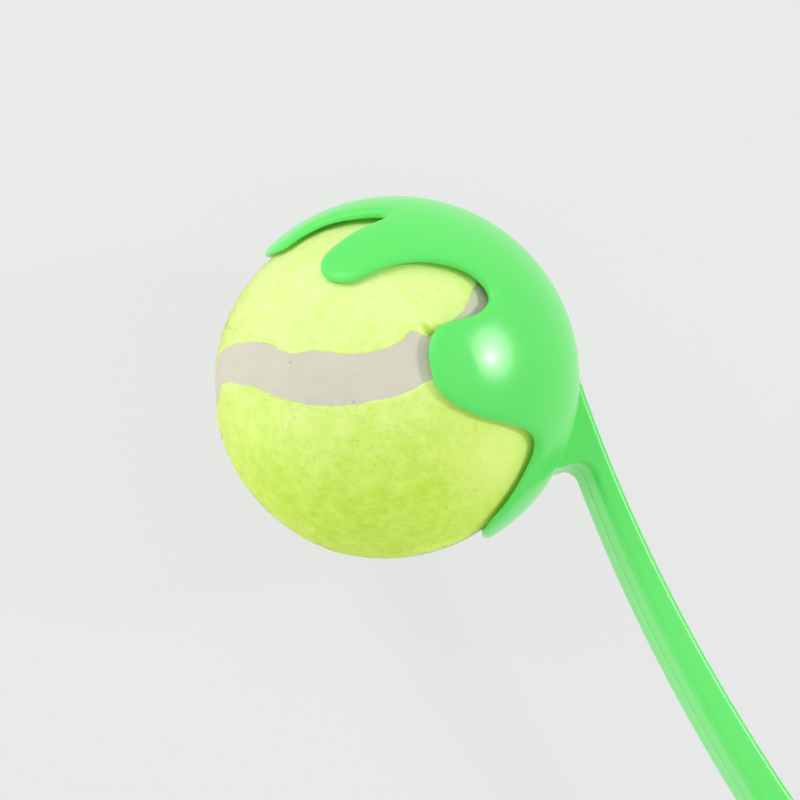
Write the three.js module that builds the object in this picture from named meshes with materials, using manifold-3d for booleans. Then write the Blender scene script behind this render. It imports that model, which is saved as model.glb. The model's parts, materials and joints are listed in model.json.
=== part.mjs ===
// A tennis ball launcher: a one-piece plastic stick with a clawed cup that holds a felt ball.
// Millimetres, +Z up. The launcher lies on its side, as it does when it is put down:
// +X runs from the cup towards the butt, and the mouth of the cup faces -Y.

import * as THREE from 'three';
import { mergeVertices } from 'three/addons/utils/BufferGeometryUtils.js';
import { TessellateModifier } from 'three/addons/modifiers/TessellateModifier.js';
import Module from 'manifold-3d';

const wasm = await Module();
wasm.setup();

// Ball
const ballDiameter = 65;
const feltThickness = 2.9;
const coreWall = 3.3;
const bondGap = 0.5;            // cement line between the felt and the rubber core
const coreSplitGap = 0.3;       // cement line between the two core halves
const seamBandWidth = 7.3;
const seamGap = 0.4;            // between the band's edges and the felt
const seamRecess = 0.6;         // how far the band lies below the felt
const seamLoopShare = 0.232;    // shape of the seam: 0 is a plain circle, 0.25 the tightest loops
const seamFlatShare = 0.723;    // how much the seam is pressed flat before it is put on the ball
const seamSkewShares = [0.088, 0.061, -0.066];  // how the laid felt strays from the even curve
const ballTurn = [-15.94, 41.83, -36.34];  // how the ball happens to lie in the cup, in degrees

// Cup: two spheres that aren't quite concentric, so that its wall thins towards the mouth
const cupClearance = 0.7;       // from the ball to the cup's inner sphere
const cupStandoff = 2;          // from the ball to the cup's outer sphere
const cupInnerShift = 0.7;      // centre of the inner sphere, behind the ball's centre
const cupOuterShift = 2.2;      // centre of the outer sphere, behind the ball's centre
const rimRadius = 0.45;         // rounding of the rim's edges

// Arm
const stemWidth = 12;
const rootPolar = 44.8;         // where the arm's centre line leaves the cup, degrees from its back
const rootInset = 0.5;
const rootAngle = -20.2;        // the arm's first direction, in degrees from +X
const rootRun = 4;              // how far the arm goes on into the cup's wall
const rootDepth = 1.2;          // how deep the arm is sunk into the wall
const bendRadius = 278;         // at the cup; the bend fades out at the handle
const armLength = 290;
const armDepthAtCup = 4;
const armDepthAtHandle = 12.4;
const crotchDistance = 14;      // from the root to the end of the crotch's fillet
const crotchRadius = 3;
const crotchReach = 12;         // how far the web under the arm reaches back into the cup

// Handle
const shoulderLength = 20;
const collarLength = 5;
const gripLength = 108;
const buttLength = 28;
const handleWidth = 24;
const handleDepth = 29;
const coreWidth = 15;
const coreDepth = 19;
const sleeveGap = 0.3;
const fingerCount = 4;
const fingerHollow = 1.3;       // depth of the hollows for the fingers
const frontSwell = 1.6;
const sideSwell = 0.9;
const palmSwell = 1.8;
const pommelDrop = 13;          // how far the butt hooks out below the little finger
const buttWidth = 25;
const buttEdge = 4;
const hangHoleDiameter = 9;
const hangHoleFromEnd = 13;
const hangHoleDrop = 5;

// Squareness of the sections: 2 is an ellipse, and a high power is nearly an oblong
const armPower = 8;
const handlePower = 2.8;
const buttPower = 6;

// Fineness of the facets
const rimStep = 3;
const rimSampleCount = 60;
const cupFacet = 7.4;
const facetRoundCount = 40;
const rimBevelCount = 2;
const bendStepCount = 72;
const seamStepCount = 68;
const panelRingCount = 7;
const ringSideCount = 20;
const sleeveSideCount = 28;
const stepsPerFingerCount = 6;
const coreSideCount = 22;
const coreStepCount = 7;
const seatSplitCount = 10;
const armStep = 11;
const cutOverrun = 3;
const weldDistance = 1e-4;

const ballRadius = ballDiameter / 2;
const cupInnerRadius = ballRadius + cupClearance;
const cupOuterRadius = ballRadius + cupStandoff;
const fullTurn = 2 * Math.PI;
const radians = THREE.MathUtils.degToRad;

// The rim of the cup as [degrees from the back of the cup, degrees round it from the far end],
// for the half that faces up.
const rimDegrees = {
  farFinger: [
    [98.6, 0], [99.2, 5], [99.6, 10], [99.2, 14.2], [97.6, 17.2], [95.4, 18.5], [92.4, 18.8],
    [89, 19.9], [85.2, 21.3], [81.2, 23.9], [77.4, 27.4],
  ],
  cleft: [[73.4, 31.2], [70.4, 34], [69.3, 36.6], [70.2, 38.7], [73, 39.4]],
  slantingFinger: [
    [77, 39.3], [83.6, 39], [91.8, 39.2], [97, 40.4], [100.1, 43.6], [101.1, 47.6], [99.6, 52.4],
    [96.6, 55.6], [89.6, 57.8], [83, 60], [76.2, 63.4], [70.3, 68.3], [65.6, 74],
  ],
  hookedNotch: [[63.3, 81.2], [64.2, 86.9], [66.9, 88.9], [70.6, 89.6], [75.3, 89]],
  sideLobe: [
    [81.9, 86.6], [87.8, 85.5], [92.5, 87.5], [95.8, 91.3], [98.2, 96.1], [99.1, 101], [97.7, 107.2],
    [93.9, 114.2], [88.3, 121.3], [82, 128.9],
  ],
  armpit: [[78.5, 135.4], [78.2, 140.6], [80.8, 144.8]],
  nearTongue: [
    [86.6, 149.6], [92.6, 155], [97, 158.8], [100, 162.2], [101.6, 166.4], [101.6, 171],
    [100.6, 175.6], [99.4, 180],
  ],
};

// The other half mirrors it, but the finger and the tongue at the ends are cut shorter there.
const shortRimDegrees = {
  nearTongue: [[97.9, -175], [96.2, -170.5], [94, -165.5], [91.3, -160.3], [87.8, -154.8], [84, -149]],
  farFinger: [
    [77.4, -27.4], [81.2, -23.9], [85, -21], [88.4, -18.4], [91.4, -15.6], [94, -12], [96, -8],
    [97.6, -4],
  ],
};

const materials = {
  greenPlastic: new THREE.MeshStandardMaterial({ color: '#5fe36c', roughness: 0.32, metalness: 0 }),
  softGrip: new THREE.MeshStandardMaterial({ color: '#26302b', roughness: 0.75, metalness: 0 }),
  felt: new THREE.MeshStandardMaterial({ color: '#d6ef78', roughness: 0.95, metalness: 0 }),
  seamRubber: new THREE.MeshStandardMaterial({ color: '#d3cdb8', roughness: 0.6, metalness: 0 }),
  coreRubber: new THREE.MeshStandardMaterial({ color: '#6d6a60', roughness: 0.8, metalness: 0 }),
};

// A closed surface from quads between rings of equal length. Unless the rings close on themselves,
// each end gets a fan round a hub, which lies in the middle of the end ring if none is given.
function loft(rings, { closedRound = false, hubs = [] } = {}) {
  const sides = rings[0].length;
  const positions = rings.flat().flatMap((point) => point.toArray());
  const index = [];
  const spans = closedRound ? rings.length : rings.length - 1;
  for (let ring = 0; ring < spans; ring += 1) {
    const here = ring * sides;
    const there = ((ring + 1) % rings.length) * sides;
    for (let side = 0; side < sides; side += 1) {
      const next = (side + 1) % sides;
      index.push(here + side, here + next, there + next, here + side, there + next, there + side);
    }
  }
  if (!closedRound) {
    for (const ring of [0, rings.length - 1]) {
      const middle = new THREE.Vector3();
      rings[ring].forEach((point) => middle.addScaledVector(point, 1 / sides));
      const hub = positions.length / 3;
      positions.push(...(hubs[Math.sign(ring)] ?? middle).toArray());
      for (let side = 0; side < sides; side += 1) {
        const a = ring * sides + side;
        const b = ring * sides + ((side + 1) % sides);
        index.push(...(ring === 0 ? [hub, b, a] : [hub, a, b]));
      }
    }
  }
  const geometry = new THREE.BufferGeometry();
  geometry.setAttribute('position', new THREE.Float32BufferAttribute(positions, 3));
  geometry.setIndex(index);
  return geometry;
}

function welded(geometry) {
  const bare = geometry.clone();
  bare.deleteAttribute('normal');
  bare.deleteAttribute('uv');
  return mergeVertices(bare, weldDistance);
}

function toSolid(geometry) {
  const closed = welded(geometry);
  const vertProperties = new Float32Array(closed.attributes.position.array);
  const triVerts = new Uint32Array(closed.index.array);
  return new wasm.Manifold(new wasm.Mesh({ numProp: 3, vertProperties, triVerts }));
}

function toGeometry(solid) {
  const mesh = solid.getMesh();
  const geometry = new THREE.BufferGeometry();
  geometry.setAttribute('position', new THREE.Float32BufferAttribute(mesh.vertProperties, mesh.numProp));
  geometry.setIndex(new THREE.Uint32BufferAttribute(mesh.triVerts, 1));
  return geometry;
}

function mix(from, to, share) {
  return from + (to - from) * share;
}

function ease(share) {
  const held = Math.min(Math.max(share, 0), 1);
  return held * held * (3 - 2 * held);
}

// The cup starts as a flat blank with the outline of its rim. A point of the blank lies as far
// from the middle as the same point of the cup is from its back, measured along the outer sphere.
function blankOutline() {
  const { farFinger, nearTongue, ...middle } = rimDegrees;
  const mirrored = Object.values(middle).flat().reverse().map(([polar, round]) => [polar, -round]);
  const upper = [...farFinger, ...Object.values(middle).flat(), ...nearTongue];
  const lower = [...shortRimDegrees.nearTongue, ...mirrored, ...shortRimDegrees.farFinger];
  const corners = [...upper, ...lower].map(([polar, round]) => {
    const away = cupOuterRadius * radians(polar);
    return new THREE.Vector3(away * Math.cos(radians(round)), away * Math.sin(radians(round)), 0);
  });
  const curve = new THREE.CatmullRomCurve3(corners, true, 'centripetal');
  curve.arcLengthDivisions = corners.length * rimSampleCount;
  const steps = Math.round(curve.getLength() / rimStep);
  return curve.getSpacedPoints(steps).slice(0, steps).map((point) => new THREE.Vector2(point.x, point.y));
}

// Formed round the ball: the blank's height becomes the way from the inner to the outer sphere.
function formedCup() {
  const wall = cupStandoff - cupClearance;
  const blank = new THREE.ExtrudeGeometry(new THREE.Shape(blankOutline()), {
    depth: wall - 2 * rimRadius,
    bevelThickness: rimRadius,
    bevelSize: rimRadius,
    bevelOffset: -rimRadius,
    bevelSegments: rimBevelCount,
    steps: 1,
  });
  const fine = welded(new TessellateModifier(cupFacet, facetRoundCount).modify(blank));
  const spot = fine.attributes.position;
  for (let i = 0; i < spot.count; i += 1) {
    const polar = Math.hypot(spot.getX(i), spot.getY(i)) / cupOuterRadius;
    const round = Math.atan2(spot.getY(i), spot.getX(i));
    const height = (spot.getZ(i) + rimRadius) / wall;
    const lead = cupOuterShift - cupInnerShift;
    const across = lead * Math.sin(polar);
    const inner = Math.sqrt(cupInnerRadius ** 2 - across ** 2) - lead * Math.cos(polar);
    const reach = mix(inner, cupOuterRadius, height);
    const out = reach * Math.sin(polar);
    spot.setXYZ(i, -out * Math.cos(round), cupOuterShift + reach * Math.cos(polar), out * Math.sin(round));
  }
  return toSolid(fine);
}

// The stem's centre line lies in the plane of symmetry. Its bend fades evenly to nothing at the
// collar, so the way it points is a parabola in the distance from the root.
const bendLength = armLength + shoulderLength;

function stemAngle(distance) {
  const bent = Math.min(distance, bendLength);
  return radians(rootAngle) + (bent - bent ** 2 / (2 * bendLength)) / bendRadius;
}

function stemPoint(distance) {
  const start = cupOuterRadius - rootInset;
  const spot = new THREE.Vector2(
    start * Math.sin(radians(rootPolar)),
    cupOuterShift + start * Math.cos(radians(rootPolar)),
  );
  for (let i = 0; i < bendStepCount; i += 1) {
    const angle = stemAngle(distance * (i + 0.5) / bendStepCount);
    spot.x += Math.cos(angle) * distance / bendStepCount;
    spot.y += Math.sin(angle) * distance / bendStepCount;
  }
  return spot;
}

// One section across the stem: a rounded oblong that gets squarer as its power rises. above is
// its reach towards the inside of the bend, and below is its reach towards the outside.
function stemRing(distance, { width, above, below, power }, sides = ringSideCount) {
  const centre = stemPoint(distance);
  const angle = stemAngle(distance);
  const ring = [];
  for (let i = 0; i < sides; i += 1) {
    const turn = fullTurn * (i + 0.5) / sides;
    const side = Math.sign(Math.sin(turn)) * Math.abs(Math.sin(turn)) ** (2 / power) * width / 2;
    const tall = Math.sign(Math.cos(turn)) * Math.abs(Math.cos(turn)) ** (2 / power);
    const up = tall * (tall > 0 ? above : below);
    ring.push(new THREE.Vector3(centre.x - up * Math.sin(angle), centre.y + up * Math.cos(angle), side));
  }
  return ring;
}

function armSection(distance, web = 0) {
  const along = Math.min(Math.max(distance / armLength, 0), 1);
  const deep = mix(armDepthAtCup, armDepthAtHandle, along) / 2;
  const flare = ease((distance - armLength) / shoulderLength);
  return {
    width: mix(stemWidth, handleWidth, flare),
    above: mix(deep, handleDepth / 2, flare),
    below: mix(deep, handleDepth / 2, flare) + web,
    power: mix(armPower, handlePower, flare),
  };
}

const collarEnd = armLength + shoulderLength + collarLength;
const gripEnd = collarEnd + gripLength;
const stemEnd = gripEnd + buttLength;
const coreSection = { width: coreWidth, above: coreDepth / 2, below: coreDepth / 2, power: handlePower };

function buttSection(distance) {
  const along = ease((distance - gripEnd) / (buttLength - hangHoleFromEnd));
  const left = stemEnd - distance;
  const edge = left < buttEdge ? buttEdge - Math.sqrt(buttEdge ** 2 - (buttEdge - left) ** 2) : 0;
  return {
    width: mix(handleWidth, buttWidth, along) - 2 * edge,
    above: handleDepth / 2 - edge,
    below: handleDepth / 2 + pommelDrop * along - edge,
    power: mix(handlePower, buttPower, along),
  };
}

// The arm, shoulder, collar, core and butt are one run of sections. It starts as a deep web inside
// the cup's wall, and ends the web in the crotch's fillet.
function stemSolid() {
  const crotchShares = [1, 0.9, 0.7, 0.4, 0];
  const shoulderShares = [0.2, 0.4, 0.6, 0.8, 1];
  const edgeShares = [1, 0.5, 0.15, 0];
  const rings = [-rootRun, crotchDistance - crotchRadius].map((distance) => (
    stemRing(distance, armSection(distance, crotchReach))
  ));
  crotchShares.forEach((share) => {
    const distance = crotchDistance - share * crotchRadius;
    const web = crotchRadius * (1 - Math.sqrt(1 - share ** 2));
    rings.push(stemRing(distance, armSection(distance, web)));
  });
  const armSteps = Math.round((armLength - crotchDistance) / armStep);
  for (let i = 1; i <= armSteps; i += 1) {
    const distance = mix(crotchDistance, armLength, i / armSteps);
    rings.push(stemRing(distance, armSection(distance)));
  }
  shoulderShares.forEach((share) => {
    const distance = armLength + share * shoulderLength;
    rings.push(stemRing(distance, armSection(distance)));
  });
  rings.push(stemRing(collarEnd, armSection(collarEnd)));
  rings.push(stemRing(collarEnd, coreSection));
  rings.push(stemRing(gripEnd, coreSection));
  shoulderShares.forEach((share) => {
    const distance = gripEnd + (share - shoulderShares[0]) * (buttLength - buttEdge);
    rings.push(stemRing(distance, buttSection(distance)));
  });
  edgeShares.forEach((share) => {
    const distance = stemEnd - share * buttEdge;
    rings.push(stemRing(distance, buttSection(distance)));
  });
  return toSolid(loft(rings));
}

// Where the hang hole crosses the butt, and the way the butt points.
function buttFrame() {
  const angle = stemAngle(stemEnd);
  const end = stemPoint(stemEnd);
  const along = new THREE.Vector2(Math.cos(angle), Math.sin(angle));
  const across = new THREE.Vector2(-along.y, along.x);
  const hole = end.clone().addScaledVector(along, -hangHoleFromEnd).addScaledVector(across, -hangHoleDrop);
  return { end, along, across, hole };
}

function launcherMoulding() {
  const seat = new THREE.IcosahedronGeometry(cupOuterRadius - rootDepth, seatSplitCount);
  seat.translate(0, cupOuterShift, 0);
  const holeRadius = hangHoleDiameter / 2;
  const hole = new THREE.CylinderGeometry(holeRadius, holeRadius, buttWidth + cutOverrun, ringSideCount);
  hole.rotateX(Math.PI / 2);
  const middle = buttFrame().hole;
  hole.translate(middle.x, middle.y, 0);
  const stem = stemSolid().subtract(toSolid(seat)).subtract(toSolid(hole));
  return toGeometry(formedCup().add(stem));
}

// The soft sleeve fills the recess between the collar and the butt. Its front carries a row of
// finger hollows, and its back swells to fill the palm.
function gripSleeve() {
  const from = collarEnd + sleeveGap;
  const to = gripEnd - sleeveGap;
  const steps = fingerCount * stepsPerFingerCount;
  const outer = [];
  for (let i = 0; i <= steps; i += 1) {
    const share = i / steps;
    const bulge = Math.sin(Math.PI * share);
    const finger = (1 - Math.cos(fullTurn * fingerCount * share)) / 2;
    outer.push(stemRing(mix(from, to, share), {
      width: handleWidth + sideSwell * bulge,
      above: handleDepth / 2 + palmSwell * bulge,
      below: handleDepth / 2 + frontSwell * bulge - fingerHollow * finger,
      power: handlePower,
    }, sleeveSideCount));
  }
  const bore = {
    width: coreWidth + 2 * sleeveGap,
    above: coreDepth / 2 + sleeveGap,
    below: coreDepth / 2 + sleeveGap,
    power: handlePower,
  };
  const inner = [from - cutOverrun, to + cutOverrun].map((distance) => stemRing(distance, bore));
  return toGeometry(toSolid(loft(outer)).subtract(toSolid(loft(inner))));
}

// The seam of a ball is one closed curve on the sphere with two loops on each side. At every
// step, ahead points along the curve and side points across it, towards the +Z panel.
function seamAt(turn) {
  const wide = 1 - seamLoopShare;
  const tight = seamLoopShare;
  const tall = 2 * Math.sqrt(wide * tight) * seamFlatShare;
  const [sway, rise, roll] = seamSkewShares;
  const spot = new THREE.Vector3(
    wide * Math.cos(turn) + tight * Math.cos(3 * turn),
    wide * Math.sin(turn) - tight * Math.sin(3 * turn) + sway * Math.sin(2 * turn),
    tall * Math.sin(2 * turn) + rise * Math.sin(turn) + roll * Math.sin(3 * turn),
  ).normalize();
  const ahead = new THREE.Vector3(
    -wide * Math.sin(turn) - 3 * tight * Math.sin(3 * turn),
    wide * Math.cos(turn) - 3 * tight * Math.cos(3 * turn) + 2 * sway * Math.cos(2 * turn),
    2 * tall * Math.cos(2 * turn) + rise * Math.cos(turn) + 3 * roll * Math.cos(3 * turn),
  );
  return { spot, side: new THREE.Vector3().crossVectors(spot, ahead).normalize() };
}

// A point beside the seam, shifted across it by a length measured on the ball's surface.
function besideSeam(step, shift, radius) {
  const { spot, side } = seamAt(fullTurn * step / seamStepCount);
  const angle = shift / ballRadius;
  return spot.multiplyScalar(Math.cos(angle)).addScaledVector(side, Math.sin(angle)).multiplyScalar(radius);
}

// A dog-bone panel of felt: rings drawn in from its cut edge to the middle, inside and outside.
function feltPanel() {
  const pole = new THREE.Vector3(0, 0, 1);
  const edge = seamBandWidth / 2 + seamGap;
  const foot = ballRadius - feltThickness;
  const rings = [];
  const ringAt = (share, radius) => {
    const ring = [];
    for (let step = seamStepCount; step > 0; step -= 1) {
      const rim = besideSeam(step, edge, 1);
      const angle = pole.angleTo(rim);
      const axis = new THREE.Vector3().crossVectors(pole, rim).normalize();
      ring.push(pole.clone().applyAxisAngle(axis, angle * share).multiplyScalar(radius));
    }
    return ring;
  };
  for (let i = 1; i <= panelRingCount; i += 1) {
    rings.push(ringAt(i / panelRingCount, ballRadius));
  }
  for (let i = panelRingCount; i >= 1; i -= 1) {
    rings.push(ringAt(i / panelRingCount, foot));
  }
  return loft(rings, { hubs: [pole.clone().multiplyScalar(ballRadius), pole.multiplyScalar(foot)] });
}

// The band of rubber between the panels, a ring of sections that follows the seam.
function seamBand() {
  const top = ballRadius - seamRecess;
  const foot = ballRadius - feltThickness;
  const half = seamBandWidth / 2;
  const rings = [];
  for (let step = 0; step < seamStepCount; step += 1) {
    rings.push([
      besideSeam(step, -half, foot), besideSeam(step, 0, foot), besideSeam(step, half, foot),
      besideSeam(step, half, top), besideSeam(step, 0, top), besideSeam(step, -half, top),
    ]);
  }
  return loft(rings, { closedRound: true });
}

// One half of the hollow rubber core, turned from its section.
function coreHalf() {
  const outer = ballRadius - feltThickness - bondGap;
  const inner = outer - coreWall;
  const lift = coreSplitGap / 2;
  const profile = [];
  const arc = (radius, from, to) => {
    const low = Math.asin(lift / radius);
    for (let i = 0; i <= coreStepCount; i += 1) {
      const angle = mix(low, Math.PI / 2, mix(from, to, i / coreStepCount));
      profile.push(new THREE.Vector2(radius * Math.cos(angle), radius * Math.sin(angle)));
    }
  };
  arc(inner, 1, 0);
  arc(outer, 0, 1);
  profile.at(0).x = 0;
  profile.at(-1).x = 0;
  const geometry = new THREE.LatheGeometry(profile, coreSideCount);
  return welded(geometry.rotateX(Math.PI / 2));
}

function namedMesh(name, geometry, material) {
  const mesh = new THREE.Mesh(geometry, material);
  mesh.name = name;
  return mesh;
}

const ball = new THREE.Group();
const coreA = namedMesh('ball_core_half_a', coreHalf(), materials.coreRubber);
const coreB = namedMesh('ball_core_half_b', coreHalf(), materials.coreRubber);
coreB.rotation.x = Math.PI;
const feltA = namedMesh('felt_panel_a', feltPanel(), materials.felt);
const feltB = namedMesh('felt_panel_b', feltPanel(), materials.felt);
feltB.rotation.x = Math.PI;
ball.add(coreA, coreB, feltA, feltB, namedMesh('seam_band', seamBand(), materials.seamRubber));
ball.rotation.set(...ballTurn.map(radians));

const launcher = new THREE.Group();
launcher.add(
  namedMesh('launcher_moulding', launcherMoulding(), materials.greenPlastic),
  namedMesh('grip_sleeve', gripSleeve(), materials.softGrip),
  ball,
);

// Laid down on its side: the cup and the butt both touch the ground, so it leans a little.
const { end, along } = buttFrame();
const touchX = end.x - buttEdge * along.x;
launcher.rotation.y = Math.asin(cupOuterRadius / Math.hypot(touchX, buttWidth / 2))
  - Math.atan2(buttWidth / 2, touchX);

const object = new THREE.Group();
object.add(launcher);
object.updateMatrixWorld(true);
const box = new THREE.Box3().setFromObject(object, true);
launcher.position.set(-(box.min.x + box.max.x) / 2, -(box.min.y + box.max.y) / 2, -box.min.z);

export default object;
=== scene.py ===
# %% [markdown]
# # A tennis ball launcher
# A launcher is a springy plastic stick with a clawed cup at one end. This lesson dresses a finished
# CAD frame for its portrait: the frame gives every size and place, and each part that shows is made
# again here as a fine surface, worked out with numpy. Lengths are in millimetres in the launcher's
# own axes, and one function turns them into metres in the frame.

# %% Load the frame
import itertools
import json
import math

import bmesh
import bpy
import numpy as np
from mathutils import Matrix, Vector
from mathutils.geometry import delaunay_2d_cdt


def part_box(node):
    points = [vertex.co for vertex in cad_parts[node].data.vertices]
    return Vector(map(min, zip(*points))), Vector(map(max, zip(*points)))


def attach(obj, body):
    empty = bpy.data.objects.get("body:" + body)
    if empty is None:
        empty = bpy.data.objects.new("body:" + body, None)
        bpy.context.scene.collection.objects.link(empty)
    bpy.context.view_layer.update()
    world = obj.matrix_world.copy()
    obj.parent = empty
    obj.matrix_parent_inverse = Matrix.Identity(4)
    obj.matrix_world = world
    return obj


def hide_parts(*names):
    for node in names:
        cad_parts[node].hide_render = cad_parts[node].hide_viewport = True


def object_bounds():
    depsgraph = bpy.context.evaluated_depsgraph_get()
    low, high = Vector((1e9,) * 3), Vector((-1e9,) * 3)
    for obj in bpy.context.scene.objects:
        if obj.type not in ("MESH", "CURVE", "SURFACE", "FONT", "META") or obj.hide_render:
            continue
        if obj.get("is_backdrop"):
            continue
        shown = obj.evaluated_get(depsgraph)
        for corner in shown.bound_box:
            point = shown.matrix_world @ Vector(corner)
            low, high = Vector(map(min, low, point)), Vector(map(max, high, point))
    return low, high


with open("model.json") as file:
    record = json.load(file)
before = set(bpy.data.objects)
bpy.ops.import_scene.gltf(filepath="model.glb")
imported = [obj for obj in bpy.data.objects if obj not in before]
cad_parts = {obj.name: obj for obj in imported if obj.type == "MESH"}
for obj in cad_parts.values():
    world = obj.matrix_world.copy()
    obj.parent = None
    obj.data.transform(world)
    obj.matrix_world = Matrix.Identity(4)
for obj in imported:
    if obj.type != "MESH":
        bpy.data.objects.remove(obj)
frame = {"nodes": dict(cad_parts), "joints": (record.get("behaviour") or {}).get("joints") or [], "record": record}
cad_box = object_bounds()
print("frame:", sorted(frame["nodes"]))

# %% [markdown]
# ## The launcher's own axes
# The launcher lies on its side, leaning a little, because the cup is fatter than the handle. Its
# axes could be typed in, but the frame already knows them: the ball leaves against +Y, the hang
# hole runs along +Z, and the ball's centre is the middle of its hollow core.

# %% Place the launcher's axes
MM = 0.001
core_corners = np.array([corner for half in "ab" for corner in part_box("ball_core_half_" + half)])
ball_centre = (core_corners.min(0) + core_corners.max(0)) / 2
hang_hole = next(mount for mount in frame["record"]["mounts"] if mount["name"] == "hang_hole")
back_way = -np.array(frame["joints"][0]["axis"], float)
side_way = np.array(hang_hole["axis"], float) / np.linalg.norm(hang_hole["axis"])
launcher_axes = np.array([np.cross(back_way, side_way), back_way, side_way])


def placed(points):
    """Millimetres in the launcher's axes to metres in the frame: turned, shrunk and shifted."""
    return ball_centre + MM * np.asarray(points) @ launcher_axes


print("ball centre:", ball_centre.round(4))

# %% [markdown]
# ## Grids of points
# Nearly every surface here is a grid: rows of points, with faces between neighbours. The helpers
# below list the faces of a grid whose rows are closed loops, close its ends with a fan, and put
# points and faces into a mesh in one go, which is far quicker than adding them one by one.

# %% Mesh helpers
def grid_faces(rows, columns, closed_rows=False):
    """Four-cornered faces between neighbouring rows of a grid whose rows are closed loops. With
    closed_rows the last row joins the first as well."""
    row = np.arange(rows if closed_rows else rows - 1)[:, None] * columns
    column = np.arange(columns)[None, :]
    beside = (column + 1) % columns
    below = (row + columns) % (rows * columns)
    return np.stack([row + column, row + beside, below + beside, below + column], -1).reshape(-1, 4)


def fan_faces(first, columns, hub):
    """Three-cornered faces from the hub to the loop of points that starts at first."""
    here = first + np.arange(columns)
    beside = first + (np.arange(columns) + 1) % columns
    return np.stack([np.full(columns, hub), here, beside], -1)


def capped(rows):
    """Points and faces of a grid whose first and last rows are each closed by a fan to a hub, which is
    the middle of the row."""
    count, columns = rows.shape[:2]
    hub = count * columns
    points = np.vstack([rows.reshape(-1, 3), rows[[0, -1]].mean(1)])
    fans = np.vstack([fan_faces(0, columns, hub), fan_faces(hub - columns, columns, hub + 1)])
    return points, grid_faces(count, columns), fans


def new_piece(name, points, *face_sets):
    """An object from millimetre points and arrays of faces, with its faces turned outwards."""
    mesh = bpy.data.meshes.new(name)
    corners = np.concatenate([faces.ravel() for faces in face_sets])
    sizes = np.concatenate([np.full(len(faces), faces.shape[1]) for faces in face_sets])
    mesh.vertices.add(len(points))
    mesh.vertices.foreach_set("co", placed(points).ravel())
    mesh.loops.add(len(corners))
    mesh.loops.foreach_set("vertex_index", corners)
    mesh.polygons.add(len(sizes))
    mesh.polygons.foreach_set("loop_start", np.cumsum(sizes) - sizes)
    mesh.update(calc_edges=True)
    work = bmesh.new()
    work.from_mesh(mesh)
    bmesh.ops.recalc_face_normals(work, faces=work.faces)
    work.to_mesh(mesh)
    work.free()
    mesh.shade_smooth()
    made = bpy.data.objects.new(name, mesh)
    bpy.context.scene.collection.objects.link(made)
    return made


def finish_piece(piece, body, slot, material, *replaced):
    """Give a piece its finish, the body that carries it, and the CAD nodes that it stands for."""
    piece.data.materials.clear()
    piece.data.materials.append(material)
    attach(piece, body)
    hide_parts(*replaced)
    print(f"{piece.name}: {len(piece.data.polygons)} faces")


LATTICE_HEIGHTS = 4096
LATTICE_PRIMES = (73856093, 19349663, 83492791)   # they stir a cell's three numbers into one


def ease(share):
    """A share from 0 to 1 that starts and stops gently: 3 s s - 2 s s s."""
    held = np.clip(share, 0, 1)
    return held * held * (3 - 2 * held)


def noise(points, size, seed):
    """Smooth random hills from -1 to 1: a random height at each corner of a lattice of cubes of that
    size, eased from corner to corner inside each cube."""
    spot = np.asarray(points) / size
    cell = np.floor(spot).astype(np.int64)
    near = ease(spot - cell)
    heights = np.random.default_rng(seed).random(LATTICE_HEIGHTS) * 2 - 1
    total = np.zeros(spot.shape[:-1])
    for corner in itertools.product((0, 1), repeat=3):
        pick = np.bitwise_xor.reduce((cell + corner) * LATTICE_PRIMES, axis=-1) % LATTICE_HEIGHTS
        total += heights[pick] * np.where(corner, near, 1 - near).prod(-1)
    return total


# %% [markdown]
# ## Shader maths as plain expressions
# A finish is a small sum: so much of this pattern, less of that. Wired by hand it takes a dozen
# nodes, so one class wraps a socket and turns Python's own signs into Math nodes. Everything else
# comes from one method that sets a node's options first and then its sockets.

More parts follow.
